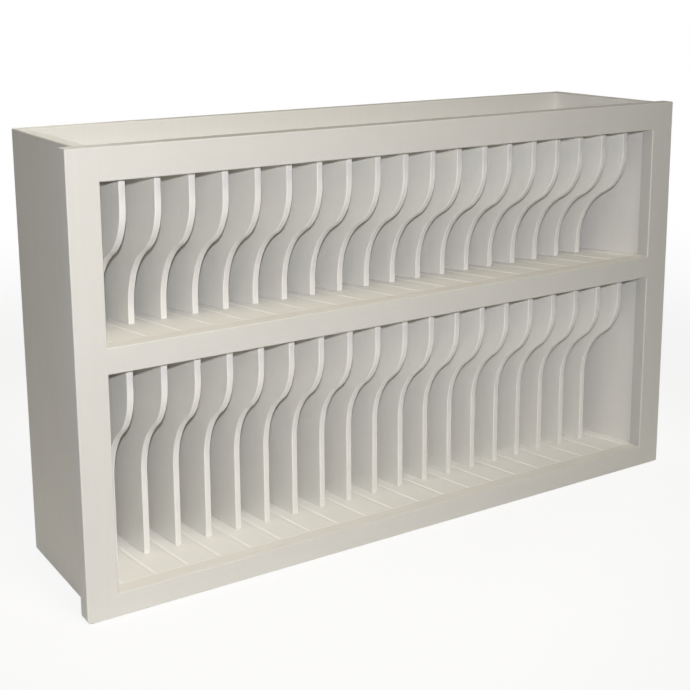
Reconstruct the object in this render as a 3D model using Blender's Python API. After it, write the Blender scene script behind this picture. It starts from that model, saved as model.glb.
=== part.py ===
"""Wall-hung plate rack: a painted carcass, a face frame, two sloping plate shelves and rows of S-shaped dividers.

Metres, +Z up. The origin is the middle of the back face, which lies on the wall. The front looks along -Y.
"""

import math

import bmesh
import bpy
from mathutils import Matrix, Vector

# Overall size, over the face frame and back to the wall
WIDTH = 1.000
HEIGHT = 0.600
DEPTH = 0.250

# Face frame: two full-height stiles with three rails tenoned between them
FRAME_THICK = 0.022
STILE_WIDTH = 0.042
TOP_RAIL = 0.042
MIDDLE_RAIL = 0.034
BOTTOM_RAIL = 0.032
UPPER_OPENING = 0.204
FRAME_OVERHANG = 0.018
TENON_THICK = 0.007
TENON_LENGTH = 0.025
TENON_SHOULDER = 0.007
FRAME_ARRIS = 0.0016
STILE_TOE_RADIUS = 0.003

# Carcass boards
SIDE_THICK = 0.018
BACK_THICK = 0.018
TOP_THICK = 0.009
PANEL_ARRIS = 0.0015
HOUSING_DEPTH = 0.006

# Plate shelves: they fall towards the wall, with one rim groove in the middle of each slot
SHELF_THICK = 0.009
SHELF_SLOPE = math.radians(6.0)
GROOVE_WIDTH = 0.007
GROOVE_DEPTH = 0.001

# Dividers: a straight nose at the front, an S-curve back, then a straight heel down to the shelf
DIVIDERS_PER_TIER = 19
DIVIDER_THICK = 0.009
NOSE_STRAIGHT = 0.035
NOSE_SHARE = 0.43
UPPER_SET_BACK = 0.100
UPPER_HEEL = 0.020
LOWER_SET_BACK = 0.078
LOWER_HEEL = 0.114

# Gap left between pieces that touch
CLEARANCE = 0.0003

# Smoothness of round stretches
ARRIS_STEPS = 2
GROOVE_STEPS = 4
CURVE_STEPS = 10

# How an edge is picked: the share of its direction that runs along an axis, and of a half size that counts as outside
ALONG = 0.9
AT_EDGE = 0.98

# Paint, as linear red, green and blue
FRAME_PAINT = (0.628, 0.623, 0.600)
CARCASS_PAINT = (0.640, 0.623, 0.577)
SHELF_PAINT = (0.922, 0.914, 0.900)
DIVIDER_PAINT = (0.885, 0.874, 0.838)
PAINT_ROUGHNESS = 0.52

# Planes that the pieces share
FRONT = -DEPTH
CARCASS_FRONT = FRONT + FRAME_THICK
BACK_FACE = -BACK_THICK
BASE = -HEIGHT / 2
CROWN = HEIGHT / 2
LOWER_SILL = BASE + BOTTOM_RAIL
UPPER_HEAD = CROWN - TOP_RAIL
UPPER_SILL = UPPER_HEAD - UPPER_OPENING
LOWER_HEAD = UPPER_SILL - MIDDLE_RAIL
STILE_INNER = WIDTH / 2 - STILE_WIDTH
SIDE_OUTER = WIDTH / 2 - FRAME_OVERHANG
SIDE_INNER = SIDE_OUTER - SIDE_THICK
BOARD_END = SIDE_INNER + HOUSING_DEPTH
SHELF_RISE = SHELF_THICK / math.cos(SHELF_SLOPE)
SLOTS_PER_TIER = DIVIDERS_PER_TIER + 1
SLOT_WIDTH = (2 * SIDE_INNER - DIVIDERS_PER_TIER * DIVIDER_THICK) / SLOTS_PER_TIER
SLOT_PITCH = SLOT_WIDTH + DIVIDER_THICK


def clear_scene():
    """Remove everything that the scene starts with."""
    for obj in list(bpy.data.objects):
        bpy.data.objects.remove(obj, do_unlink=True)


def paint(name, colour):
    """A satin paint."""
    material = bpy.data.materials.new(name)
    material.use_nodes = True
    shader = material.node_tree.nodes["Principled BSDF"]
    shader.inputs["Base Color"].default_value = (*colour, 1.0)
    shader.inputs["Roughness"].default_value = PAINT_ROUGHNESS
    shader.inputs["Metallic"].default_value = 0.0
    return material


def add_object(name, mesh, location, material=None):
    """Link an object to the scene under the rack's empty."""
    obj = bpy.data.objects.new(name, mesh)
    bpy.context.scene.collection.objects.link(obj)
    obj.location = location
    obj.parent = bpy.data.objects["plate_rack"]
    if material is not None and not mesh.materials:
        mesh.materials.append(material)
    return obj


def mesh_of(name, shape):
    """Turn a bmesh into a mesh with its faces pointing out."""
    bmesh.ops.recalc_face_normals(shape, faces=shape.faces[:])
    mesh = bpy.data.meshes.new(name)
    shape.to_mesh(mesh)
    shape.free()
    return mesh


def block(low, high):
    """A bmesh box round its own middle, and that middle."""
    low, high = Vector(low), Vector(high)
    shape = bmesh.new()
    bmesh.ops.create_cube(shape, size=1.0, matrix=Matrix.Diagonal((*(high - low), 1.0)))
    return shape, (low + high) / 2


def hide_helper(obj):
    """Mark an object as a cutter or a tenon bar, which isn't a piece itself."""
    obj.hide_render = True
    obj.display_type = "WIRE"


def combine(obj, helper, operation):
    """Cut a helper from a piece, or join it to the piece."""
    hide_helper(helper)
    modifier = obj.modifiers.new(helper.name, "BOOLEAN")
    modifier.operation = operation
    modifier.solver = "EXACT"
    modifier.object = helper


def ease(shape, chosen, width):
    """Round over the edges for which chosen(middle, direction) is true."""
    edges = []
    for edge in shape.edges:
        first, last = (vert.co for vert in edge.verts)
        if chosen((first + last) / 2, (last - first).normalized()):
            edges.append(edge)
    bmesh.ops.bevel(
        shape, geom=edges, offset=width, segments=ARRIS_STEPS, profile=0.5, affect="EDGES", clamp_overlap=True
    )


def split_at_height(shape, height):
    """Cut a ring of edges round a shape at one height."""
    geometry = shape.verts[:] + shape.edges[:] + shape.faces[:]
    bmesh.ops.bisect_plane(shape, geom=geometry, plane_co=(0, 0, height), plane_no=(0, 0, 1))


def prism(outline, span, to_point):
    """Sweep a closed outline between two ends, with to_point giving each corner's place."""
    shape = bmesh.new()
    ends = []
    for end in span:
        ends.append([shape.verts.new(to_point(a, b, end)) for a, b in outline])
    near, far = ends
    shape.faces.new(near)
    shape.faces.new(reversed(far))
    for i in range(len(outline)):
        j = (i + 1) % len(outline)
        shape.faces.new((near[i], far[i], far[j], near[j]))
    return shape


def tenon_box(name, rail_low, rail_high, play):
    """The bar that makes a rail's two tenons, or with some play the mortises that take them."""
    middle = (FRONT + CARCASS_FRONT) / 2
    reach = STILE_INNER + TENON_LENGTH + play
    half = TENON_THICK / 2 + play
    low = (-reach, middle - half, rail_low + TENON_SHOULDER - play)
    high = (reach, middle + half, rail_high - TENON_SHOULDER + play)
    shape, centre = block(low, high)
    return add_object(name, mesh_of(name, shape), centre)


def build_rail(name, low, high, finish):
    """A rail between the stiles, with a tenon at each end."""
    reach = STILE_INNER - CLEARANCE
    shape, centre = block((-reach, FRONT, low), (reach, CARCASS_FRONT, high))
    ease(shape, lambda middle, along: abs(along.x) > ALONG and middle.y < 0, FRAME_ARRIS)
    rail = add_object(name, mesh_of(name, shape), centre, finish)
    combine(rail, tenon_box(f"{name}_tenons", low, high, 0.0), "UNION")
    return rail


def build_stile(name, side, rails, finish):
    """A full-height stile. Its inner arris is rounded along the openings only, and stops at the rails."""
    ends = sorted((side * STILE_INNER, side * WIDTH / 2))
    shape, centre = block((ends[0], FRONT, BASE), (ends[1], CARCASS_FRONT, CROWN))
    for height in (LOWER_SILL, LOWER_HEAD, UPPER_SILL, UPPER_HEAD):
        split_at_height(shape, height)

    def on_toe(middle, along):
        return abs(along.y) > ALONG and middle.x * side > 0 and middle.z < BASE * AT_EDGE

    def on_front(middle, along):
        if middle.y > -FRAME_THICK / 2 * AT_EDGE:
            return False
        if abs(along.x) > ALONG:
            return abs(middle.z) > CROWN * AT_EDGE
        on_outside = middle.x * side > STILE_WIDTH / 2 - STILE_TOE_RADIUS
        on_inside = middle.x * side < -STILE_WIDTH / 2 * AT_EDGE
        beside_opening = LOWER_SILL < middle.z < LOWER_HEAD or UPPER_SILL < middle.z < UPPER_HEAD
        return on_outside or (on_inside and beside_opening)

    ease(shape, on_toe, STILE_TOE_RADIUS)
    ease(shape, on_front, FRAME_ARRIS)
    stile = add_object(name, mesh_of(name, shape), centre, finish)
    for rail, (low, high) in rails.items():
        combine(stile, tenon_box(f"{name}_{rail}_mortise", low, high, CLEARANCE), "DIFFERENCE")
    return stile


def build_face_frame(finish):
    """The stiles and rails."""
    rails = {
        "bottom_rail": (BASE, LOWER_SILL),
        "middle_rail": (LOWER_HEAD, UPPER_SILL),
        "top_rail": (UPPER_HEAD, CROWN),
    }
    for name, (low, high) in rails.items():
        build_rail(name, low, high, finish)
    build_stile("left_stile", -1, rails, finish)
    build_stile("right_stile", 1, rails, finish)


def shelf_fall(y):
    """How far a shelf has dropped at a place behind the face frame."""
    return math.tan(SHELF_SLOPE) * (y - CARCASS_FRONT)


def housing_cutter(name, side, sill, thickness, slope_share):
    """The channel in a side panel that takes a board's end."""
    ends = sorted((side * (SIDE_INNER - HOUSING_DEPTH), side * BOARD_END))
    outline = (
        (ends[0], CLEARANCE),
        (ends[1], CLEARANCE),
        (ends[1], -thickness - CLEARANCE),
        (ends[0], -thickness - CLEARANCE),
    )
    span = (CARCASS_FRONT - HOUSING_DEPTH, BACK_FACE)
    shape = prism(outline, span, lambda x, drop, y: (x, y, sill + drop - slope_share * shelf_fall(y)))
    return add_object(name, mesh_of(name, shape), (0, 0, 0))


def build_side(name, side, finish):
    """A side panel with housings for the top panel and both shelves."""
    ends = sorted((side * SIDE_INNER, side * SIDE_OUTER))
    shape, centre = block((ends[0], CARCASS_FRONT + CLEARANCE, BASE), (ends[1], 0, CROWN))
    half_depth = -centre.y

    def exposed(middle, along):
        outer = middle.x * side > 0
        behind = middle.y > half_depth * AT_EDGE
        return outer and (behind or abs(along.y) > ALONG)

    ease(shape, exposed, PANEL_ARRIS)
    panel = add_object(name, mesh_of(name, shape), centre, finish)
    boards = {
        "bottom_shelf": (LOWER_SILL, SHELF_RISE, 1.0),
        "middle_shelf": (UPPER_SILL, SHELF_RISE, 1.0),
        "top_panel": (UPPER_HEAD + TOP_THICK, TOP_THICK, 0.0),
    }
    for board, (sill, thickness, slope_share) in boards.items():
        combine(panel, housing_cutter(f"{name}_{board}_housing", side, sill, thickness, slope_share), "DIFFERENCE")
    return panel


def build_carcass(finish):
    """Side panels, back panel and the top panel, which is sunk below the frame's top edge."""
    build_side("left_side_panel", -1, finish)
    build_side("right_side_panel", 1, finish)
    reach = SIDE_INNER - CLEARANCE
    shape, centre = block((-reach, BACK_FACE, BASE), (reach, 0, CROWN))
    add_object("back_panel", mesh_of("back_panel", shape), centre, finish)
    reach = BOARD_END - CLEARANCE
    low = (-reach, CARCASS_FRONT + CLEARANCE, UPPER_HEAD)
    high = (reach, BACK_FACE - CLEARANCE, UPPER_HEAD + TOP_THICK)
    shape, centre = block(low, high)
    add_object("top_panel", mesh_of("top_panel", shape), centre, finish)


def groove_outline(middle):
    """A hollow round-bottomed groove across a shelf, from left to right."""
    half = GROOVE_WIDTH / 2
    radius = (half ** 2 + GROOVE_DEPTH ** 2) / (2 * GROOVE_DEPTH)
    swing = math.asin(half / radius)
    points = []
    for step in range(GROOVE_STEPS + 1):
        angle = swing * (2 * step / GROOVE_STEPS - 1)
        points.append((middle + radius * math.sin(angle), radius - GROOVE_DEPTH - radius * math.cos(angle)))
    return points


def build_shelf(name, sill, finish):
    """A sloping shelf whose front edge is level with the rail before it."""
    reach = BOARD_END - CLEARANCE
    outline = [(-reach, 0.0)]
    for slot in range(SLOTS_PER_TIER):
        outline += groove_outline(-SIDE_INNER + SLOT_WIDTH / 2 + slot * SLOT_PITCH)
    outline += [(reach, 0.0), (reach, -SHELF_RISE), (-reach, -SHELF_RISE)]
    span = (CARCASS_FRONT + CLEARANCE, BACK_FACE - CLEARANCE)
    middle = sum(span) / 2
    centre = Vector((0, middle, sill - shelf_fall(middle)))

    def to_point(x, drop, y):
        return Vector((x, y, sill + drop - shelf_fall(y))) - centre

    shape = prism(outline, span, to_point)
    return add_object(name, mesh_of(name, shape), centre, finish)


def divider_outline(head, sill, ceiling, set_back, heel):
    """Side view of a divider as (y, z) corners, from the top of its nose down its front and round the back."""
    nose = CARCASS_FRONT + CLEARANCE
    foot = nose + set_back
    start = head - NOSE_STRAIGHT
    end = sill - shelf_fall(foot) + heel
    turn = 2 * math.atan2(set_back, start - end)
    radii = (start - end) / math.sin(turn)
    upper, lower = NOSE_SHARE * radii, (1 - NOSE_SHARE) * radii
    back = BACK_FACE - CLEARANCE
    points = [(nose, ceiling(nose))]
    for step in range(CURVE_STEPS + 1):
        angle = turn * step / CURVE_STEPS
        points.append((nose + upper * (1 - math.cos(angle)), start - upper * math.sin(angle)))
    for step in range(CURVE_STEPS - 1, -1, -1):
        angle = turn * step / CURVE_STEPS
        points.append((foot - lower * (1 - math.cos(angle)), end + lower * math.sin(angle)))
    for y in (foot, back):
        points.append((y, sill - shelf_fall(y) + CLEARANCE))
    points.append((back, ceiling(back)))
    return points


def build_dividers(tier, outline, finish):
    """One row of dividers, evenly spaced between the side panels."""
    half = DIVIDER_THICK / 2
    middle = Vector((0, (CARCASS_FRONT + BACK_FACE) / 2, outline[0][1]))
    shape = prism(outline, (-half, half), lambda y, z, x: Vector((x, y, z)) - middle)
    mesh = mesh_of(f"{tier}_divider", shape)
    for number in range(1, DIVIDERS_PER_TIER + 1):
        place = middle.copy()
        place.x = -SIDE_INNER + number * SLOT_PITCH - half
        add_object(f"{tier}_divider_{number:02d}", mesh, place, finish)


def main():
    clear_scene()
    rack = bpy.data.objects.new("plate_rack", None)
    bpy.context.scene.collection.objects.link(rack)
    build_face_frame(paint("frame_paint", FRAME_PAINT))
    build_carcass(paint("carcass_paint", CARCASS_PAINT))
    shelf_paint = paint("shelf_paint", SHELF_PAINT)
    build_shelf("bottom_shelf", LOWER_SILL, shelf_paint)
    build_shelf("middle_shelf", UPPER_SILL, shelf_paint)

    def under_top(y):
        return UPPER_HEAD - CLEARANCE

    def under_shelf(y):
        return UPPER_SILL - shelf_fall(y) - SHELF_RISE - CLEARANCE

    divider_paint = paint("divider_paint", DIVIDER_PAINT)
    upper = divider_outline(UPPER_HEAD, UPPER_SILL, under_top, UPPER_SET_BACK, UPPER_HEEL)
    lower = divider_outline(LOWER_HEAD, LOWER_SILL, under_shelf, LOWER_SET_BACK, LOWER_HEEL)
    build_dividers("upper", upper, divider_paint)
    build_dividers("lower", lower, divider_paint)


main()
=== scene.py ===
"""Dresses the plate rack: a painted face frame, grooved shelves and S-edged dividers.

Each modelled board stands for one solid of the frame. The studio round them has a white ground.
"""

import logging
import math
from collections.abc import Callable, Iterator
from contextlib import contextmanager
from dataclasses import dataclass
from enum import Enum
from typing import Any

import bpy
from mathutils import Matrix, Vector

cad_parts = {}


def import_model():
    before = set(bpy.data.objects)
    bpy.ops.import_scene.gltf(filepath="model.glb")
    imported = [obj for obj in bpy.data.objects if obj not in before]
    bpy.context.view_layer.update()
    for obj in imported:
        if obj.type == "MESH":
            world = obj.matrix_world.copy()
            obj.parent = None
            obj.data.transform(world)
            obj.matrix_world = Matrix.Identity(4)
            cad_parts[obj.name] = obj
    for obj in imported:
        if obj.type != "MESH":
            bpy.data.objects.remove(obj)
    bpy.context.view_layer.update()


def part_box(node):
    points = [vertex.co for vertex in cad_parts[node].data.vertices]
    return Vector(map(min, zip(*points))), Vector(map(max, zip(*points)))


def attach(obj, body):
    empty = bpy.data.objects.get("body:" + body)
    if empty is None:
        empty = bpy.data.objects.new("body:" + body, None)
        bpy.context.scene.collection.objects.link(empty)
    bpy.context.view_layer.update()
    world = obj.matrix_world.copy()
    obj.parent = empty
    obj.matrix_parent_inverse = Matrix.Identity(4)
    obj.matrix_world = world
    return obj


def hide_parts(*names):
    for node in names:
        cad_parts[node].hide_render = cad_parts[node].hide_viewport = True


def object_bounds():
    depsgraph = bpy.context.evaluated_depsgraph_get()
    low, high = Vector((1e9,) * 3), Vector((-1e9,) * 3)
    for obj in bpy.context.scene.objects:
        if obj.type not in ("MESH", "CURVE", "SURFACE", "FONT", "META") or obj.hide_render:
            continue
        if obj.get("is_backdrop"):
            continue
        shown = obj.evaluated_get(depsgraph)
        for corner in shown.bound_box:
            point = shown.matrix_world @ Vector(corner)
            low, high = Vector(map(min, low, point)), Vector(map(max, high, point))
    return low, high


LOG = logging.getLogger("plate_rack")
BODY = "root"
RAILS = ("bottom_rail", "middle_rail", "top_rail")
SHELVES = ("bottom_shelf", "middle_shelf")

# Places closer than this, in metres, are the same place
TINY = 1e-5

# A face looks along an axis when that part of its normal is past FACING, and is flat when past SQUARE
FACING = 0.9
SQUARE = 0.99

# Facets that meet at a smaller angle than this are shaded as one curve
SMOOTH_ANGLE = math.radians(8.0)

# Noise nodes swing evenly round this value
NOISE_MIDDLE = 0.5

# The photograph's width in pixels and the camera's sensor in millimetres
IMAGE_SIDE = 690
SENSOR = 36.0

Colour = tuple[float, float, float]
Place = tuple[float, float, float]
Span = tuple[float, float]
EdgeTest = Callable[[Vector, Vector], bool]
PointTest = Callable[[Vector], bool]
FaceTest = Callable[[Vector], float]


class Side(Enum):
    """A side of the rack, as the sign of its x."""

    LEFT = -1
    RIGHT = 1


class Tier(Enum):
    """A row of dividers, by the word that its solids' names start with."""

    UPPER = "upper"
    LOWER = "lower"


class Pick(Enum):
    """What an edit selects."""

    POINTS = (True, False, False)
    EDGES = (False, True, False)
    FACES = (False, False, True)


class Mark(Enum):
    """Faces that the paint tells apart, by the name of the mesh's attribute."""

    ARRIS = "arris"
    # Faces tinted paler or darker than the paint, as painted light or painted shade
    INSIDE = "inside"


class Grain(Enum):
    """Which way a board's brush marks run, as a stretch of the pattern on each axis."""

    ACROSS = (5.0, 150.0, 150.0)
    UPRIGHT = (150.0, 150.0, 5.0)


@dataclass(frozen=True)
class Noise:
    """A noise pattern: features per unit of its coordinates, number of finer layers and their weight."""

    scale: float
    detail: float
    roughness: float


class Signal:
    """One socket of a material, with arithmetic that adds Math nodes."""

    def __init__(self, sheet: "NodeSheet", socket: bpy.types.NodeSocket) -> None:
        """Keep the socket and the sheet it belongs to."""
        self.sheet = sheet
        self.socket = socket

    def _math(self, operation: str, first: "Signal | float", second: "Signal | float") -> "Signal":
        """Add one Math node."""
        return self.sheet.node("ShaderNodeMath", {"operation": operation}, {0: first, 1: second})

    def __add__(self, other: "Signal | float") -> "Signal":
        """Sum."""
        return self._math("ADD", self, other)

    __radd__ = __add__

    def __sub__(self, other: "Signal | float") -> "Signal":
        """Difference."""
        return self._math("SUBTRACT", self, other)

    def __rsub__(self, other: float) -> "Signal":
        """Difference from a number."""
        return self._math("SUBTRACT", other, self)

    def __mul__(self, other: "Signal | float") -> "Signal":
        """Product."""
        return self._math("MULTIPLY", self, other)

    __rmul__ = __mul__


class NodeSheet:
    """The node tree of one material or of the world."""

    def __init__(self, tree: bpy.types.NodeTree) -> None:
        """Start from an empty tree."""
        self.tree = tree
        tree.nodes.clear()

    def node(
        self,
        kind: str,
        settings: dict[str, Any] | None = None,
        sockets: dict[str | int, Any] | None = None,
        output: str | int = 0,
    ) -> Signal:
        """Add a node.

        Args:
            kind: The node's type.
            settings: Properties to set before the sockets.
            sockets: Values or links by socket name or number.
            output: Which output to hand on.

        Returns:
            The chosen output, or the first input of a node that has no outputs.
        """
        made = self.tree.nodes.new(kind)
        for name, value in (settings or {}).items():
            setattr(made, name, value)
        for name, value in (sockets or {}).items():
            if isinstance(value, Signal):
                self.tree.links.new(value.socket, made.inputs[name])
            else:
                made.inputs[name].default_value = value
        chosen = made.outputs[output] if len(made.outputs) else made.inputs[0]
        return Signal(self, chosen)

    def place(self) -> Signal:
        """The piece's own coordinates."""
        return self.node("ShaderNodeTexCoord", {}, {}, "Object")

    def marked(self, mark: Mark) -> Signal:
        """How far a face has a mark."""
        return self.node("ShaderNodeAttribute", {"attribute_name": mark.value}, {}, "Fac")

    def noise(self, place: Signal, pattern: Noise) -> Signal:
        """Add a noise that swings evenly round 0.

        Args:
            place: The coordinates.
            pattern: The noise's scale and layers.

        Returns:
            The noise, from minus a half to a half.
        """
        values = {
            "Vector": place,
            "Scale": pattern.scale,
            "Detail": pattern.detail,
            "Roughness": pattern.roughness,
        }
        return self.node("ShaderNodeTexNoise", {}, values) - NOISE_MIDDLE

    def mix(self, factor: Signal, first: Any, second: Any) -> Signal:
        """Mix two colours, the first at 0 and the second at 1."""
        # A Mix node's colour sockets share their names with others, so they go by number
        settings = {"data_type": "RGBA", "clamp_factor": True}
        return self.node("ShaderNodeMix", settings, {0: factor, 6: first, 7: second}, 2)

    def fade(self, value: Signal, span: Span, ends: Span = (0.0, 1.0)) -> Signal:
        """Pass smoothly from one number to another.

        Args:
            value: What the fade follows.
            span: Where on the value it starts and stops.
            ends: The numbers before and after it.

        Returns:
            The faded number.
        """
        names = ("From Min", "From Max", "To Min", "To Max")
        steps = {"Value": value, **dict(zip(names, (*span, *ends)))}
        return self.node("ShaderNodeMapRange", {"interpolation_type": "SMOOTHSTEP"}, steps)


@dataclass(frozen=True)
class PaintFinish:
    """Satin paint over wood, with faint brush marks, a fine skin and arrises paler from wear and a painted
    highlight.

    The colour deepens with the mottle, the brush marks and the specks. Faces that are marked take the colour
    of a second tint, which is painted light or painted shade.
    """

    name: str
    colour: Colour
    # A second tint for marked faces, which is painted light or painted shade
    inside: "PaintFinish | None" = None
    deepening: Colour = (0.945, 0.943, 0.937)
    mean_depth: float = 0.35
    mottle_depth: float = 0.9
    brush_depth: float = 0.7
    speck_depth: float = 0.35
    # Arrises paler than the body: partly paint worn thin, partly a painted highlight
    arris_highlight_tint: float = 1.05
    arris_highlight_and_wear: float = 0.55
    roughness: float = 0.52
    brush_gloss: float = 0.16
    mottle_gloss: float = 0.12
    arris_gloss: float = 0.06
    specular: float = 0.10
    brush_height: float = 0.00012
    skin_height: float = 0.00003
    mottle: Noise = Noise(scale=6.0, detail=4.0, roughness=0.55)
    brush: Noise = Noise(scale=1.0, detail=3.0, roughness=0.6)
    skin: Noise = Noise(scale=900.0, detail=1.0, roughness=0.5)
    specks: Noise = Noise(scale=180.0, detail=2.0, roughness=0.6)

    def _body(self, sheet: NodeSheet, depth: Signal) -> Signal:
        """The paint's own colour, from pale to deep."""
        deep = [part * share for part, share in zip(self.colour, self.deepening)]
        return sheet.mix(depth, (*self.colour, 1.0), (*deep, 1.0))

    def make(self, grain: Grain) -> bpy.types.Material:
        """Build the material.

        Args:
            grain: Which way the brush marks run.

        Returns:
            The finished material.
        """
        material = bpy.data.materials.new(f"{self.name}_{grain.name.lower()}")
        material.use_nodes = True
        sheet = NodeSheet(material.node_tree)
        place = sheet.place()
        stretched = sheet.node("ShaderNodeMapping", {}, {"Vector": place, "Scale": grain.value})
        mottle = sheet.noise(place, self.mottle)
        brush = sheet.noise(stretched, self.brush)
        skin = sheet.noise(place, self.skin)
        specks = sheet.noise(place, self.specks)
        arris = sheet.marked(Mark.ARRIS)

        spread = mottle * self.mottle_depth + brush * self.brush_depth + specks * self.speck_depth
        depth = self.mean_depth + spread
        body = self._body(sheet, depth)
        if self.inside is not None:
            # Marked faces take the second tint: painted light or painted shade
            body = sheet.mix(sheet.marked(Mark.INSIDE), body, self.inside._body(sheet, depth))
        # Paler arrises: partly paint worn thin, partly a painted highlight
        highlight_and_wear = arris * self.arris_highlight_and_wear * (1.0 + mottle)
        colour = sheet.mix(highlight_and_wear, body, (*(part * self.arris_highlight_tint for part in self.colour), 1.0))

        sheen = brush * self.brush_gloss + mottle * self.mottle_gloss - arris * self.arris_gloss
        relief = brush * self.brush_height + skin * self.skin_height
        bump = sheet.node("ShaderNodeBump", {}, {"Strength": 1.0, "Distance": 1.0, "Height": relief})
        values = {
            "Base Color": colour,
            "Roughness": self.roughness + sheen,
            "Normal": bump,
            "Specular IOR Level": self.specular,
        }
        shader = sheet.node("ShaderNodeBsdfPrincipled", {}, values)
        sheet.node("ShaderNodeOutputMaterial", {}, {"Surface": shader})
        return material


# Tints of one off-white paint: the paler and darker tints are painted light and shade, for how light falls
# on each kind of face
# Paler tint, painted light: the dividers' edges and the side panels' inward faces
LIT_LINING_PAINT = PaintFinish("lit_lining_paint", (0.785, 0.777, 0.752))
# Paler tint, painted light: the dividers' flat sides
LIT_LEAF_PAINT = PaintFinish("lit_leaf_paint", (0.860, 0.857, 0.812))
# Paler tint, painted light: the tops of the bottom and middle rails
LIT_LEDGE_PAINT = PaintFinish("lit_ledge_paint", (0.825, 0.816, 0.786))
# Darker tint, painted shade: the tops of the stiles and top rail, and in part the stiles' reveals
SHADED_TOP_PAINT = PaintFinish("shaded_top_paint", (0.500, 0.495, 0.472))
FRAME_PAINT = PaintFinish("frame_paint", (0.628, 0.623, 0.600), LIT_LEDGE_PAINT)
SHADED_TOP_FRAME_PAINT = PaintFinish("shaded_top_frame_paint", FRAME_PAINT.colour, SHADED_TOP_PAINT)
DIVIDER_PAINT = PaintFinish("divider_paint", LIT_LINING_PAINT.colour, LIT_LEAF_PAINT)
INNER_PAINT = PaintFinish("inner_paint", (0.695, 0.689, 0.669))
# Paler tint, painted light: the shelves
SHELF_PAINT = PaintFinish("shelf_paint", (0.938, 0.934, 0.930))
SIDE_PAINT = PaintFinish("side_paint", (0.638, 0.626, 0.588), LIT_LINING_PAINT)


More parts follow.
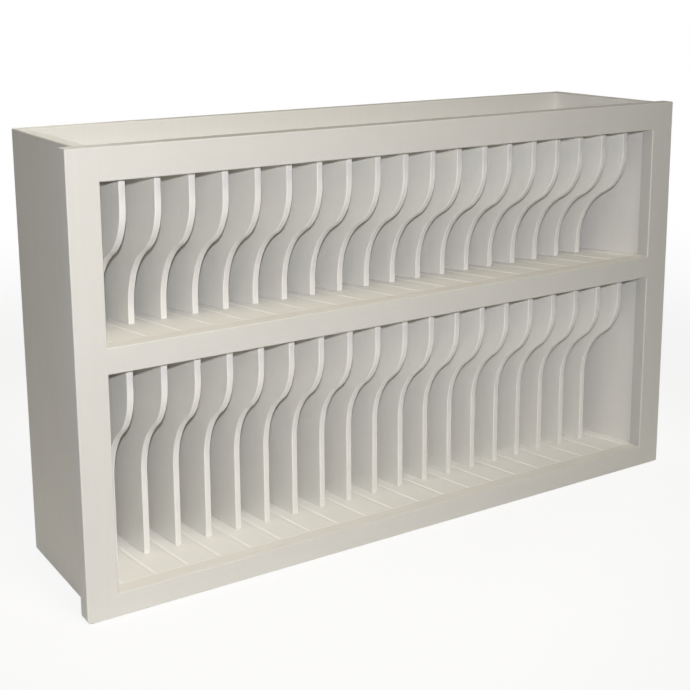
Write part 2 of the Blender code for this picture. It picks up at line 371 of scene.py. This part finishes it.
class Bench:
    """Modelling steps, each done with the operator that a person would use."""

    @staticmethod
    def clear_selection() -> None:
        """Deselect every object."""
        bpy.ops.object.select_all(action="DESELECT")

    @staticmethod
    def take(board: bpy.types.Object) -> None:
        """Select one object alone and make it active.

        Args:
            board: The object.
        """
        Bench.clear_selection()
        board.select_set(True)
        bpy.context.view_layer.objects.active = board

    @staticmethod
    def settle() -> None:
        """Put the selected object's place, turn and size into its mesh."""
        bpy.ops.object.transform_apply(location=True, rotation=True, scale=True)

    @staticmethod
    @contextmanager
    def editing(board: bpy.types.Object, pick: Pick) -> Iterator[None]:
        """Hold a piece in edit mode.

        Args:
            board: The piece.
            pick: What selections are made of.

        Yields:
            Nothing, with the piece in edit mode.
        """
        Bench.take(board)
        bpy.context.tool_settings.mesh_select_mode = pick.value
        bpy.ops.object.mode_set(mode="EDIT")
        yield
        bpy.ops.object.mode_set(mode="OBJECT")

    @staticmethod
    def block(name: str, low: Vector, high: Vector) -> bpy.types.Object:
        """Add a cube stretched between two corners.

        Args:
            name: The piece's name.
            low: Lowest corner.
            high: Highest corner.

        Returns:
            The piece, with its place in its mesh.
        """
        Bench.clear_selection()
        bpy.ops.mesh.primitive_cube_add(size=1.0, location=(low + high) / 2)
        board = bpy.context.object
        board.name = name
        board.data.name = name
        board.scale = high - low
        Bench.settle()
        return board

    @staticmethod
    def choose_none(board: bpy.types.Object) -> None:
        """Deselect every point, edge and face of a piece.

        Args:
            board: The piece, in object mode.
        """
        mesh = board.data
        for item in (*mesh.vertices, *mesh.edges, *mesh.polygons):
            item.select = False

    @staticmethod
    def choose_edges(board: bpy.types.Object, wanted: EdgeTest) -> None:
        """Select edges by their place.

        Args:
            board: The piece, in object mode.
            wanted: Test of an edge's two ends.
        """
        Bench.choose_none(board)
        for edge in board.data.edges:
            ends = [board.data.vertices[index] for index in edge.vertices]
            if wanted(ends[0].co, ends[1].co):
                edge.select = True
                for end in ends:
                    end.select = True

    @staticmethod
    def choose_points(board: bpy.types.Object, wanted: PointTest) -> None:
        """Select points by their place.

        Args:
            board: The piece, in object mode.
            wanted: Test of a point.
        """
        Bench.choose_none(board)
        for point in board.data.vertices:
            point.select = wanted(point.co)

    @staticmethod
    def choose_end(board: bpy.types.Object, side: Side) -> None:
        """Select the face at one end of a rail.

        Args:
            board: The rail, in object mode.
            side: Which end.
        """
        Bench.choose_none(board)
        facing = [face for face in board.data.polygons if face.normal.x * side.value > FACING]
        end = max(facing, key=lambda face: face.center.x * side.value)
        end.select = True
        for index in end.vertices:
            board.data.vertices[index].select = True

    @staticmethod
    def bevel(board: bpy.types.Object, wanted: EdgeTest, width: float, steps: int) -> None:
        """Round over chosen edges.

        Args:
            board: The piece.
            wanted: Test of an edge's two ends.
            width: The rounding's size.
            steps: Number of facets across it.
        """
        Bench.choose_edges(board, wanted)
        with Bench.editing(board, Pick.EDGES):
            bpy.ops.mesh.bevel(offset=width, segments=steps, profile=0.5, affect="EDGES", clamp_overlap=True)

    @staticmethod
    def ring_at_height(board: bpy.types.Object, height: float) -> None:
        """Cut a ring of edges round a piece.

        Args:
            board: The piece.
            height: Where the ring lies.
        """
        with Bench.editing(board, Pick.EDGES):
            bpy.ops.mesh.select_all(action="SELECT")
            bpy.ops.mesh.bisect(plane_co=(0, 0, height), plane_no=(0, 0, 1))

    @staticmethod
    def drop_points(board: bpy.types.Object, wanted: PointTest, drop: float) -> None:
        """Move chosen points down.

        Args:
            board: The piece.
            wanted: Test of a point.
            drop: How far down they go.
        """
        Bench.choose_points(board, wanted)
        with Bench.editing(board, Pick.POINTS):
            bpy.ops.transform.translate(value=(0, 0, -drop))

    @staticmethod
    def apply_modifier(board: bpy.types.Object, kind: str, **settings: Any) -> None:
        """Add a modifier and apply it.

        Args:
            board: The piece.
            kind: The modifier's type.
            **settings: Its properties.
        """
        modifier = board.modifiers.new(kind.lower(), kind)
        for name, value in settings.items():
            setattr(modifier, name, value)
        Bench.take(board)
        bpy.ops.object.modifier_apply(modifier=modifier.name)

    @staticmethod
    def cut(board: bpy.types.Object, cutter: bpy.types.Object) -> None:
        """Take a cutter's shape out of a piece and remove the cutter."""
        Bench.apply_modifier(board, "BOOLEAN", operation="DIFFERENCE", solver="EXACT", object=cutter)
        bpy.data.meshes.remove(cutter.data, do_unlink=True)

    @staticmethod
    def mark(board: bpy.types.Object, mark: Mark, test: FaceTest) -> None:
        """Mark faces for the paint to tell apart."""
        marks = board.data.attributes.new(mark.value, "FLOAT", "FACE")
        marks.data.foreach_set("value", [float(test(face.normal)) for face in board.data.polygons])

    @staticmethod
    def shade(board: bpy.types.Object, rounded: FaceTest, inside: FaceTest | None = None) -> None:
        """Mark a piece's faces, smooth its curves, and keep its flats flat.

        Args:
            board: The piece.
            rounded: How far a face belongs to a rounded edge, from its normal.
            inside: How far a face takes the finish's second tint, painted light or painted shade, from its
                normal.
        """
        Bench.mark(board, Mark.ARRIS, rounded)
        if inside is not None:
            Bench.mark(board, Mark.INSIDE, inside)
        Bench.take(board)
        bpy.ops.object.shade_smooth_by_angle(angle=SMOOTH_ANGLE)

    @staticmethod
    def hand_over(
        board: bpy.types.Object, node: str, slot: str, paint: bpy.types.Material
    ) -> bpy.types.Object:
        """Paint a piece and let it stand for its solid.

        Args:
            board: The piece.
            node: The solid that it stands for.
            slot: The record's material slot; not used.
            paint: The finish.

        Returns:
            The piece.
        """
        board.data.materials.clear()
        board.data.materials.append(paint)
        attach(board, BODY)
        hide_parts(node)
        return board


def off_square(normal: Vector) -> bool:
    """Whether a face of a square board belongs to a rounded edge."""
    return max(abs(part) for part in normal) < SQUARE


def faces_up(normal: Vector) -> bool:
    """Whether a face looks up."""
    return normal.z > FACING


def faces_inwards(normal: Vector, side: Side) -> bool:
    """Whether a face of a piece at one side looks into the rack."""
    return normal.x * side.value < -FACING


def outer_x(node: str, side: Side) -> float:
    """Where the outer face of a piece at one side lies."""
    low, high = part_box(node)
    return high.x if side is Side.RIGHT else low.x


@dataclass
class FaceFrame:
    """Two stiles and three rails round the openings.

    Attributes:
        lit_ledge_finish: Paint with tops painted paler as painted light, for the bottom and middle rails.
        shaded_top_finish: Paint with tops painted darker as painted shade, for the stiles and the top rail.
        reveal_shade_share: How far a stile's reveals take the painted shade of its top.
    """

    lit_ledge_finish: PaintFinish
    shaded_top_finish: PaintFinish
    arris: float = 0.0016
    arris_steps: int = 4
    joint_gap: float = 0.00005
    worn_toe: float = 0.006
    sharp_toe: float = 0.0022
    tenon_shoulder: float = 0.0075
    reveal_shade_share: float = 0.5
    slot: str = "frame_paint"

    def build(self) -> list[bpy.types.Object]:
        """Make and dress every rail and stile.

        Returns:
            The pieces.
        """
        rails = [self._rail(node) for node in RAILS]
        left = self._stile("left_stile", Side.LEFT, self.worn_toe)
        right = self._stile("right_stile", Side.RIGHT, self.sharp_toe)
        return [*rails, left, right]

    def _rail(self, node: str) -> bpy.types.Object:
        """Model a rail with its two tenons.

        Args:
            node: The rail's solid.

        Returns:
            The rail.
        """
        low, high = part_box(node)
        reach = high.x
        low.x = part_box("left_stile")[1].x + self.joint_gap
        high.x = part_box("right_stile")[0].x - self.joint_gap
        rail = Bench.block(f"painted_{node}", low, high)
        for side in Side:
            Bench.choose_end(rail, side)
            with Bench.editing(rail, Pick.FACES):
                bpy.ops.mesh.inset(thickness=self.tenon_shoulder)
                step = (side.value * (reach - high.x), 0, 0)
                bpy.ops.mesh.extrude_region_move(TRANSFORM_OT_translate={"value": step})

        def on_front(first: Vector, last: Vector) -> bool:
            """Whether an edge runs along the front."""
            return max(first.y, last.y) < low.y + TINY and abs(first.x - last.x) > self.arris

        Bench.bevel(rail, on_front, self.arris, self.arris_steps)
        # Rail tops take the second tint: painted light on the ledges, painted shade on the top rail
        Bench.shade(rail, off_square, faces_up)
        finish = self.shaded_top_finish if node == "top_rail" else self.lit_ledge_finish
        return Bench.hand_over(rail, node, self.slot, finish.make(Grain.ACROSS))

    def _stile(self, node: str, side: Side, toe: float) -> bpy.types.Object:
        """Model a stile, rounded along the openings and stopped at the rails.

        Args:
            node: The stile's solid.
            side: Which side of the rack it is on.
            toe: Rounding of its outer bottom corner.

        Returns:
            The stile.
        """
        low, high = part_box(node)
        outer = outer_x(node, side)
        rails = [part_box(rail) for rail in RAILS]
        openings = [(below[1].z, above[0].z) for below, above in zip(rails, rails[1:])]
        stile = Bench.block(f"painted_{node}", low, high)
        for opening in openings:
            for height in opening:
                Bench.ring_at_height(stile, height)

        def on_toe(first: Vector, last: Vector) -> bool:
            """Whether an edge is the outer bottom corner."""
            return all(abs(end.x - outer) < TINY and end.z < low.z + TINY for end in (first, last))

        def on_front(first: Vector, last: Vector) -> bool:
            """Tell whether a front edge is at an end, at the outer side or beside an opening.

            Args:
                first: One end of the edge.
                last: The other end.

            Returns:
                True where the edge is rounded.
            """
            if max(first.y, last.y) > low.y + TINY:
                return False
            middle = (first + last) / 2
            # Level edges, apart from the toe's own facets
            if abs(first.z - last.z) < TINY and abs(first.x - last.x) > toe * 2:
                return middle.z > high.z - TINY or middle.z < low.z + TINY
            if abs(middle.x - outer) < toe:
                return True
            upright = abs(first.x - last.x) < TINY
            return upright and any(bottom < middle.z < top for bottom, top in openings)

        def shaded_top_share(normal: Vector) -> float:
            """How far a face takes the painted shade of the tops: wholly on top, in part on the reveals."""
            return max(float(faces_up(normal)), self.reveal_shade_share * faces_inwards(normal, side))

        Bench.bevel(stile, on_toe, toe, self.arris_steps)
        Bench.bevel(stile, on_front, self.arris, self.arris_steps)
        for rail_low, rail_high in rails:
            Bench.cut(stile, self._mortise_cutter(rail_low, rail_high))
        # Stile tops take painted shade, and the reveals take part of it
        Bench.shade(stile, off_square, shaded_top_share)
        return Bench.hand_over(stile, node, self.slot, self.shaded_top_finish.make(Grain.UPRIGHT))

    def _mortise_cutter(self, rail_low: Vector, rail_high: Vector) -> bpy.types.Object:
        """Make the cutter for a rail's mortises.

        Args:
            rail_low: The rail's lowest corner.
            rail_high: The rail's highest corner.

        Returns:
            A bar a little larger than the rail's tenons.
        """
        shoulder = self.tenon_shoulder - self.joint_gap
        inset = Vector((-self.joint_gap, shoulder, shoulder))
        return Bench.block("mortise_cutter", rail_low + inset, rail_high - inset)


@dataclass
class PlateShelves:
    """The two sloping shelves, with a rim groove in each slot.

    Attributes:
        groove_overrun: The groove cutter's length, as a share of the shelf's depth.
        groove_tilt: A face that leans more than this to one side belongs to a groove.
        ease: Rounding of the shelf's and the grooves' edges.
        ease_angle: Edges sharper than this are rounded.
    """

    finish: PaintFinish
    slope: float = math.radians(6.0)
    thickness: float = 0.009
    slots: int = 20
    groove_width: float = 0.007
    groove_depth: float = 0.001
    groove_facets: int = 64
    groove_overrun: float = 1.2
    groove_tilt: float = 0.15
    ease: float = 0.0004
    ease_steps: int = 2
    ease_angle: float = math.radians(30.0)
    slot: str = "shelf_paint"

    @property
    def rise(self) -> float:
        """The board's upright thickness."""
        return self.thickness / math.cos(self.slope)

    def outline(self, name: str, node: str, grow: float = 0.0) -> bpy.types.Object:
        """Model a board that slopes down to the back.

        Args:
            name: The piece's name.
            node: The shelf's solid.
            grow: How much larger than the shelf it is, above, below and in front.

        Returns:
            The board.
        """
        low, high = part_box(node)
        front = Vector((low.x, low.y - grow, high.z - self.rise - grow))
        board = Bench.block(name, front, Vector((high.x, high.y, high.z + grow)))
        fall = math.tan(self.slope) * (high.y - low.y)
        Bench.drop_points(board, lambda point: point.y > high.y - TINY, fall)
        return board

    def build(self) -> list[bpy.types.Object]:
        """Make and dress both shelves.

        Returns:
            The pieces.
        """
        return [self._shelf(node) for node in SHELVES]

    def _shelf(self, node: str) -> bpy.types.Object:
        """Model a shelf, cut its grooves and ease its edges.

        Args:
            node: The shelf's solid.

        Returns:
            The shelf.
        """
        shelf = self.outline(f"painted_{node}", node)
        Bench.cut(shelf, self._groove_cutter(node))
        Bench.apply_modifier(
            shelf,
            "BEVEL",
            width=self.ease,
            segments=self.ease_steps,
            limit_method="ANGLE",
            angle_limit=self.ease_angle,
        )
        Bench.shade(shelf, lambda normal: self.groove_tilt < abs(normal.x) < FACING)
        return Bench.hand_over(shelf, node, self.slot, self.finish.make(Grain.ACROSS))

    def _groove_cutter(self, node: str) -> bpy.types.Object:
        """Make a row of round bars lying along the shelf's slope.

        Args:
            node: The shelf's solid.

        Returns:
            The cutter.
        """
        low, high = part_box(node)
        half = self.groove_width / 2
        radius = (half**2 + self.groove_depth**2) / (2 * self.groove_depth)
        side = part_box("left_side_panel")[1].x
        divider_low, divider_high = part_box("lower_divider_01")
        pitch = divider_high.x - side
        first = (side + divider_low.x) / 2
        middle = (low.y + high.y) / 2
        top = high.z - math.tan(self.slope) * (middle - low.y)
        Bench.clear_selection()
        bpy.ops.mesh.primitive_cylinder_add(
            vertices=self.groove_facets,
            radius=radius,
            depth=(high.y - low.y) * self.groove_overrun,
            location=(first, middle, top + (radius - self.groove_depth) / math.cos(self.slope)),
            rotation=(-math.pi / 2 - self.slope, 0, 0),
        )
        cutter = bpy.context.object
        Bench.settle()
        Bench.apply_modifier(
            cutter,
            "ARRAY",
            count=self.slots,
            use_relative_offset=False,
            use_constant_offset=True,
            constant_offset_displace=(pitch, 0, 0),
        )
        return cutter


@dataclass
class Carcass:
    """Side panels, back panel and the sunk top panel.

    Attributes:
        shelves: The shelves that the side panels are housed for.
        play: Room round a board in its housing.
    """

    side_finish: PaintFinish
    inner_finish: PaintFinish
    shelves: PlateShelves
    arris: float = 0.0018
    arris_steps: int = 3
    top_arris: float = 0.0006
    top_arris_steps: int = 2
    play: float = 0.0003
    slot: str = "carcass_paint"

    def build(self) -> list[bpy.types.Object]:
        """Make and dress the four panels.

        Returns:
            The pieces.
        """
        return [
            self._side("left_side_panel", Side.LEFT),
            self._side("right_side_panel", Side.RIGHT),
            self._panel("back_panel", self.arris, self.arris_steps, Grain.UPRIGHT),
            self._panel("top_panel", self.top_arris, self.top_arris_steps, Grain.ACROSS),
        ]

    def _side(self, node: str, side: Side) -> bpy.types.Object:
        """Model a side panel with its three housings.

        Args:
            node: The panel's solid.
            side: Which side of the rack it is on.

        Returns:
            The panel.
        """
        low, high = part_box(node)
        outer = outer_x(node, side)
        panel = Bench.block(f"painted_{node}", low, high)

        def exposed(first: Vector, last: Vector) -> bool:
            """Tell whether an edge is bare: at the outer face, the back or the top.

            Args:
                first: One end of the edge.
                last: The other end.

            Returns:
                True where the edge is rounded.
            """
            along_depth = abs(first.y - last.y) > self.arris
            upright = abs(first.z - last.z) > self.arris
            at_outer = all(abs(end.x - outer) < TINY for end in (first, last))
            at_back = min(first.y, last.y) > high.y - TINY
            at_top = min(first.z, last.z) > high.z - TINY
            if at_outer:
                return along_depth or at_back
            return (at_top and along_depth) or (at_back and not upright)

        Bench.bevel(panel, exposed, self.arris, self.arris_steps)
        for shelf in SHELVES:
            Bench.cut(panel, self.shelves.outline("housing_cutter", shelf, self.play))
        top_low, top_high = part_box("top_panel")
        grow = Vector((self.play, self.play, self.play))
        Bench.cut(panel, Bench.block("housing_cutter", top_low - grow, top_high + grow))
        # The panel's inward faces take a paler tint, painted light
        Bench.shade(panel, off_square, lambda normal: faces_inwards(normal, side))
        return Bench.hand_over(panel, node, self.slot, self.side_finish.make(Grain.UPRIGHT))

    def _panel(self, node: str, arris: float, steps: int, grain: Grain) -> bpy.types.Object:
        """Model a plain panel with its long edges rounded.

        Args:
            node: The panel's solid.
            arris: The rounding's size.
            steps: Number of facets across it.
            grain: Which way the brush marks run.

        Returns:
            The panel.
        """
        panel = Bench.block(f"painted_{node}", *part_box(node))

        def along_width(first: Vector, last: Vector) -> bool:
            """Whether an edge runs across the rack."""
            return abs(first.x - last.x) > arris

        Bench.bevel(panel, along_width, arris, steps)
        Bench.shade(panel, off_square)
        return Bench.hand_over(panel, node, self.slot, self.inner_finish.make(grain))


@dataclass
class DividerRow:
    """One tier of dividers: a straight nose, an S-curve back and a straight heel.

    Attributes:
        set_back: How far the S-curve runs back from the nose.
        heel: Height of the straight part at the foot.
        level_top: Whether the top is level, or else slopes with the shelf.
        nose_straight: Height of the straight part below the rail.
        nose_share: The upper arc's share of the two arcs' radii.
        seed_size: The plane that shrinks to the outline's first point.
        edge_tilt: A face that leans more than this to one side belongs to a rounded edge.
        leaf_tilt: A face that leans more than this is one of the two flat sides.
    """

    finish: PaintFinish
    tier: Tier
    rail_above: str
    set_back: float
    heel: float
    level_top: bool
    slope: float
    count: int
    nose_straight: float = 0.035
    nose_share: float = 0.43
    seed_size: float = 0.01
    curve_steps: int = 22
    arris: float = 0.0014
    arris_steps: int = 3
    edge_tilt: float = 0.2
    leaf_tilt: float = 0.97
    slot: str = "divider_paint"

    def _node(self, number: int) -> str:
        """The name of a divider's solid."""
        return f"{self.tier.value}_divider_{number:02d}"

    def build(self) -> list[bpy.types.Object]:
        """Model one divider, and copy it to every place in the row.

        Returns:
            The pieces.
        """
        paint = self.finish.make(Grain.UPRIGHT)
        pattern = self._model()
        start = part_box(self._node(1))[0].x
        pieces = []
        for number in range(1, self.count + 1):
            node = self._node(number)
            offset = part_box(node)[0].x - start
            divider = pattern.copy()
            divider.data = pattern.data.copy()
            divider.name = f"painted_{node}"
            divider.data.name = divider.name
            divider.data.transform(Matrix.Translation((offset, 0, 0)))
            bpy.context.scene.collection.objects.link(divider)
            pieces.append(Bench.hand_over(divider, node, self.slot, paint))
        bpy.data.meshes.remove(pattern.data, do_unlink=True)
        return pieces

    def _model(self) -> bpy.types.Object:
        """Model the row's first divider.

        Returns:
            The divider, not yet painted.
        """
        low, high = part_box(self._node(1))
        fall = math.tan(self.slope)
        nose, back = low.y, high.y
        foot = nose + self.set_back
        foot_height = low.z + fall * (back - foot)
        divider = self._leaf(foot, foot_height)

        def at_back(point: Vector) -> bool:
            """Whether a point is on the back edge."""
            return point.y > back - TINY

        def on_front(first: Vector, last: Vector) -> bool:
            """Whether an edge follows the outline and keeps off the back."""
            return not at_back(first) and not at_back(last) and abs(first.x - last.x) < TINY

        def at_heel(point: Vector) -> bool:
            """Whether a point is at the bottom of the back edge."""
            return at_back(point) and point.z < foot_height + TINY

        def at_crown(point: Vector) -> bool:
            """Whether a point is at the top of the back edge."""
            return at_back(point) and point.z > high.z - TINY

        Bench.drop_points(divider, at_heel, fall * (back - foot))
        if not self.level_top:
            Bench.drop_points(divider, at_crown, fall * (back - nose))
        Bench.apply_modifier(divider, "SOLIDIFY", thickness=high.x - low.x, offset=0.0)
        with Bench.editing(divider, Pick.FACES):
            bpy.ops.mesh.select_all(action="SELECT")
            bpy.ops.mesh.normals_make_consistent(inside=False)
        Bench.bevel(divider, on_front, self.arris, self.arris_steps)
        # The flat sides take a paler tint than the edges, painted light
        Bench.shade(
            divider,
            lambda normal: self.edge_tilt < abs(normal.x) < self.leaf_tilt,
            lambda normal: abs(normal.x) > self.leaf_tilt,
        )
        return divider

    def _leaf(self, foot: float, foot_height: float) -> bpy.types.Object:
        """Draw the front edge and sweep it to the back, as a sheet with no thickness.

        Args:
            foot: How far back the front edge meets the shelf.
            foot_height: How high it meets it.

        Returns:
            The sheet, level at its top and foot.
        """
        low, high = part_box(self._node(1))
        middle = (low.x + high.x) / 2
        nose, back = low.y, high.y
        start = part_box(self.rail_above)[0].z - self.nose_straight
        end = foot_height + self.heel
        turn = 2 * math.atan2(self.set_back, start - end)
        radii = (start - end) / math.sin(turn)
        upper = self.nose_share * radii
        lower = radii - upper
        upper_centre = (middle, nose + upper, start)
        lower_centre = (middle, foot - lower, end)

        Bench.clear_selection()
        bpy.ops.mesh.primitive_plane_add(size=self.seed_size, location=(middle, nose, high.z))
        leaf = bpy.context.object
        leaf.name = f"{self.tier.value}_divider_pattern"
        Bench.settle()
        with Bench.editing(leaf, Pick.POINTS):
            bpy.ops.mesh.select_all(action="SELECT")
            bpy.ops.mesh.merge(type="CENTER")
            bpy.ops.mesh.extrude_vertices_move(TRANSFORM_OT_translate={"value": (0, 0, start - high.z)})
            bpy.ops.mesh.spin(steps=self.curve_steps, angle=-turn, center=upper_centre, axis=(1, 0, 0))
            bpy.ops.mesh.spin(steps=self.curve_steps, angle=turn, center=lower_centre, axis=(1, 0, 0))
            bpy.ops.mesh.extrude_vertices_move(TRANSFORM_OT_translate={"value": (0, 0, foot_height - end)})
            bpy.ops.mesh.select_all(action="SELECT")
            bpy.ops.mesh.extrude_region_move(TRANSFORM_OT_translate={"value": (0, back - foot, 0)})
            bpy.ops.transform.resize(value=(1, 0, 1), center_override=(middle, back, 0))
        return leaf


@dataclass(frozen=True)
class Lamp:
    """A round soft lamp, turned to the middle of the rack unless it has another target."""

    name: str
    place: Place
    size: float
    power: float
    colour: Colour
    target: Place = (0.0, -0.12, 0.0)

    def add(self) -> None:
        """Put the lamp up."""
        Bench.clear_selection()
        bpy.ops.object.light_add(type="AREA", location=self.place)
        lamp = bpy.context.object
        lamp.name = self.name
        aim = Vector(self.target) - Vector(self.place)
        lamp.rotation_euler = aim.to_track_quat("-Z", "Y").to_euler()
        lamp.data.shape = "DISK"
        lamp.data.size = self.size
        lamp.data.energy = self.power
        lamp.data.color = self.colour


@dataclass
class Studio:
    """Camera, lamps, world and floor.

    Attributes:
        near_tint: The floor's colour by the rack.
        far_tint: Its colour away from the rack, which keeps its bounced light low.
        tint_span: Distances at which it turns from one to the other.
        whiteness: How white the floor is seen, near and far.
        whiteness_span: Distances between which that rises.
    """

    focal_pixels: float = 1239.7
    yaw: float = math.radians(32.447)
    pitch: float = math.radians(11.517)
    roll: float = math.radians(-0.312)
    camera_place: Place = (-0.990, -1.625, 0.488)
    camera_shift: float = -0.16
    lamps: tuple[Lamp, ...] = (
        Lamp("flash", (-0.99, -1.625, 0.58), 0.02, 21.5, (0.945, 0.935, 0.975)),
        Lamp("overhead", (-0.4, -2.2, 3.4), 2.2, 132.0, (1.0, 0.93, 0.70), (-7.0, -0.12, 0.0)),
        Lamp("back_fill", (0.3, 2.8, 0.15), 1.4, 55.0, (1.0, 0.98, 0.95)),
        Lamp("right_fill", (2.8, 0.4, 0.15), 1.4, 44.0, (1.0, 0.98, 0.95)),
        Lamp("left_fill", (-2.8, 0.4, 0.15), 1.4, 4.2, (1.0, 0.92, 0.76)),
    )
    ambient: Colour = (0.010, 0.009, 0.007)
    white: Colour = (1.0, 1.0, 1.0)
    floor_radius: float = 7.0
    floor_facets: int = 96
    floor_gap: float = 0.0005
    near_tint: Colour = (0.90, 0.90, 0.89)
    far_tint: Colour = (0.30, 0.30, 0.29)
    tint_span: Span = (0.55, 1.1)
    whiteness: Span = (0.86, 1.0)
    whiteness_span: Span = (0.6, 2.6)

    def build(self) -> None:
        """Set the whole studio up."""
        self._camera()
        for lamp in self.lamps:
            lamp.add()
        self._world()
        self._floor()
        bpy.context.scene.view_settings.view_transform = "Standard"

    def _camera(self) -> None:
        """Place the camera where the photograph was taken from."""
        Bench.clear_selection()
        bpy.ops.object.camera_add(location=self.camera_place)
        camera = bpy.context.object
        turn = Matrix.Rotation(-self.yaw, 4, "Z") @ Matrix.Rotation(math.pi / 2 - self.pitch, 4, "X")
        camera.rotation_euler = (turn @ Matrix.Rotation(self.roll, 4, "Z")).to_euler()
        camera.data.sensor_width = SENSOR
        camera.data.lens = self.focal_pixels / IMAGE_SIDE * SENSOR
        camera.data.shift_y = self.camera_shift
        bpy.context.scene.camera = camera

    def _world(self) -> None:
        """Make a dim warm room for the rack, and white behind it."""
        world = bpy.data.worlds.new("studio")
        bpy.context.scene.world = world
        world.use_nodes = True
        sheet = NodeSheet(world.node_tree)
        room = sheet.node("ShaderNodeBackground", {}, {"Color": (*self.ambient, 1.0), "Strength": 1.0})
        white = sheet.node("ShaderNodeBackground", {}, {"Color": (*self.white, 1.0), "Strength": 1.0})
        mixed = sheet.node("ShaderNodeMixShader", {}, {0: self._seen(sheet), 1: room, 2: white})
        sheet.node("ShaderNodeOutputWorld", {}, {"Surface": mixed})

    @staticmethod
    def _seen(sheet: NodeSheet) -> Signal:
        """Tell what is seen from what only gives light.

        Args:
            sheet: The material or the world.

        Returns:
            1 for rays that the camera, a reflection or clear stuff sees, else 0.
        """
        camera = sheet.node("ShaderNodeLightPath", {}, {}, "Is Camera Ray")
        outputs = camera.socket.node.outputs
        glossy = Signal(sheet, outputs["Is Glossy Ray"])
        return camera + glossy + Signal(sheet, outputs["Is Transmission Ray"])

    def _floor(self) -> None:
        """Lay a wide pale floor under the rack."""
        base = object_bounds()[0].z
        Bench.clear_selection()
        bpy.ops.mesh.primitive_circle_add(
            vertices=self.floor_facets, radius=self.floor_radius, fill_type="NGON"
        )
        floor = bpy.context.object
        floor.name = "studio_floor"
        floor.location = (0, 0, base - self.floor_gap)
        Bench.settle()
        floor.data.materials.append(self._floor_finish())
        floor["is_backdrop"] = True

    def _floor_finish(self) -> bpy.types.Material:
        """Make a matt floor that is seen fading to white, and is greyer away from the rack.

        Returns:
            The floor's material.
        """
        material = bpy.data.materials.new("pale_floor")
        material.use_nodes = True
        sheet = NodeSheet(material.node_tree)
        distance = sheet.node("ShaderNodeVectorMath", {"operation": "LENGTH"}, {0: sheet.place()}, "Value")
        away = sheet.fade(distance, self.tint_span)
        tint = sheet.mix(away, (*self.near_tint, 1.0), (*self.far_tint, 1.0))
        matt = sheet.node("ShaderNodeBsdfDiffuse", {}, {"Color": tint})
        white = sheet.node("ShaderNodeEmission", {}, {"Color": (*self.white, 1.0), "Strength": 1.0})
        shown = self._seen(sheet) * sheet.fade(distance, self.whiteness_span, self.whiteness)
        mixed = sheet.node("ShaderNodeMixShader", {}, {0: shown, 1: matt, 2: white})
        sheet.node("ShaderNodeOutputMaterial", {}, {"Surface": mixed})
        return material


def main() -> None:
    """Build every sub-assembly, then the studio, and log each piece's number of faces."""
    logging.basicConfig(level=logging.INFO, format="%(name)s: %(message)s")
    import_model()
    shelves = PlateShelves(SHELF_PAINT)
    dividers = shelves.slots - 1
    upper_row = DividerRow(
        DIVIDER_PAINT,
        Tier.UPPER,
        rail_above="top_rail",
        set_back=0.100,
        heel=0.020,
        level_top=True,
        slope=shelves.slope,
        count=dividers,
    )
    lower_row = DividerRow(
        DIVIDER_PAINT,
        Tier.LOWER,
        rail_above="middle_rail",
        set_back=0.078,
        heel=0.114,
        level_top=False,
        slope=shelves.slope,
        count=dividers,
    )
    frame = FaceFrame(FRAME_PAINT, SHADED_TOP_FRAME_PAINT)
    carcass = Carcass(SIDE_PAINT, INNER_PAINT, shelves)
    for assembly in (frame, carcass, shelves, upper_row, lower_row):
        for piece in assembly.build():
            LOG.info("%s has %d faces", piece.name, len(piece.data.polygons))
    Studio().build()


if __name__ == "__main__":
    main()
